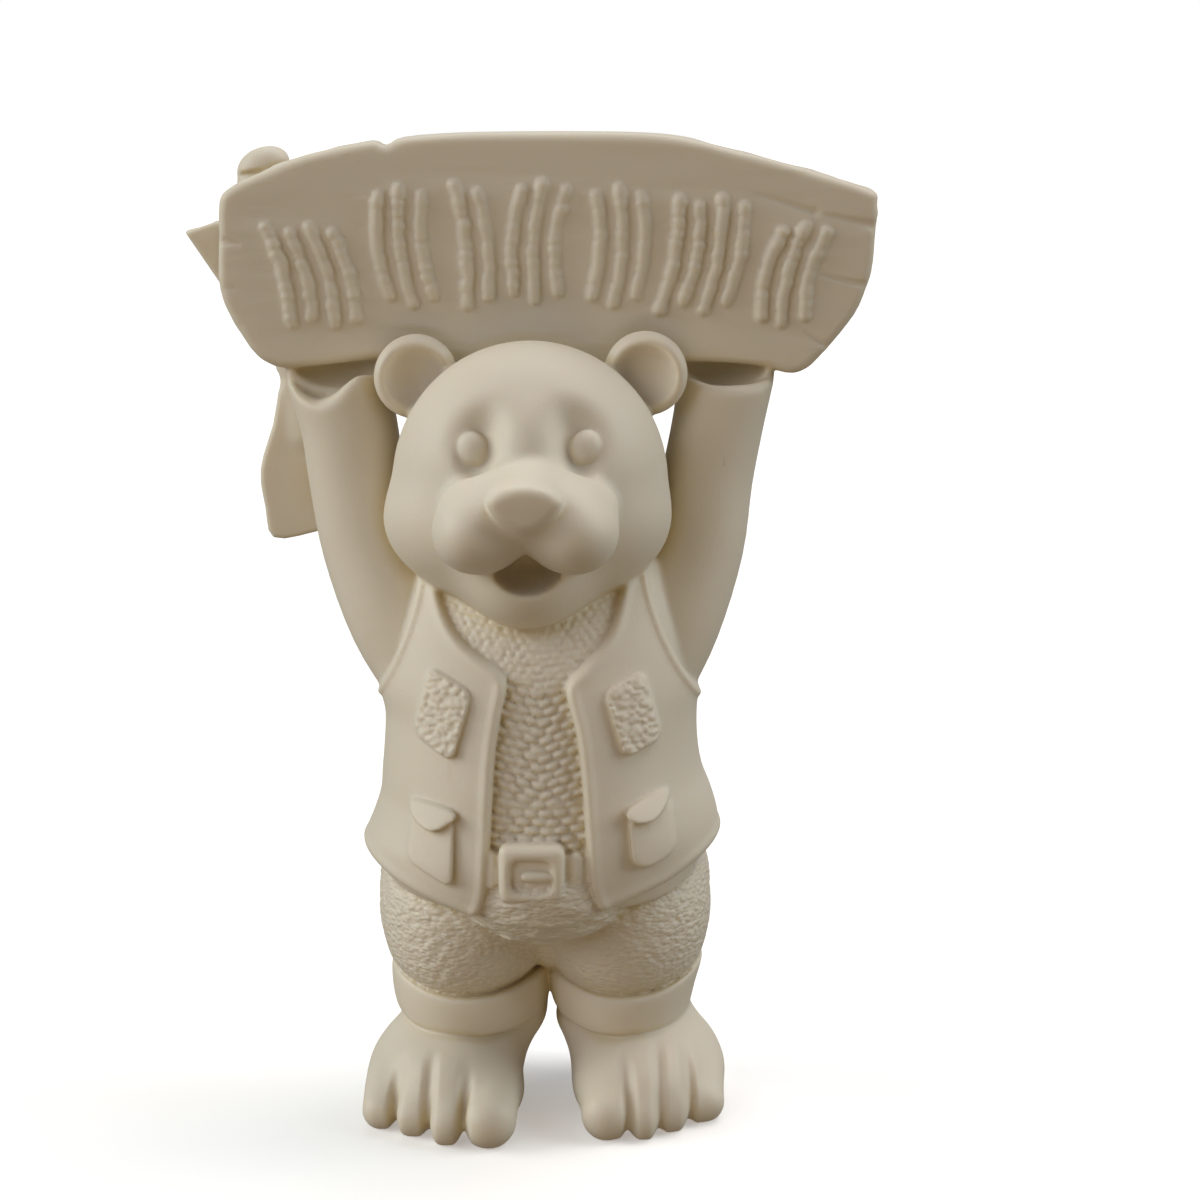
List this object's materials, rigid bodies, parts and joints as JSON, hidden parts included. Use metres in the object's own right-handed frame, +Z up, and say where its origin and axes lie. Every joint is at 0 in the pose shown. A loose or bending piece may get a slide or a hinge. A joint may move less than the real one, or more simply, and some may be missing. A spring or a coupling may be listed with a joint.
{
  "type": "bear statue with welcome sign",
  "caption": "Standing bear figurine in a fishing vest, holding an arched plank sign overhead, with a fish hung behind it; one unpainted casting.",
  "frame": {"origin": "middle of the figure's bounding box, on the surface the feet stand on", "axes": "+Z up, -Y is the way the bear faces, +X is towards the bear's left hand"},
  "size_m": [0.1774, 0.0982, 0.25],
  "materials": {
    "ivory_plastic": "plain matt ivory plastic, unpainted, faintly translucent"
  },
  "bodies": {
    "root": {"bear_statue": "ivory_plastic"}
  },
  "joints": []
}
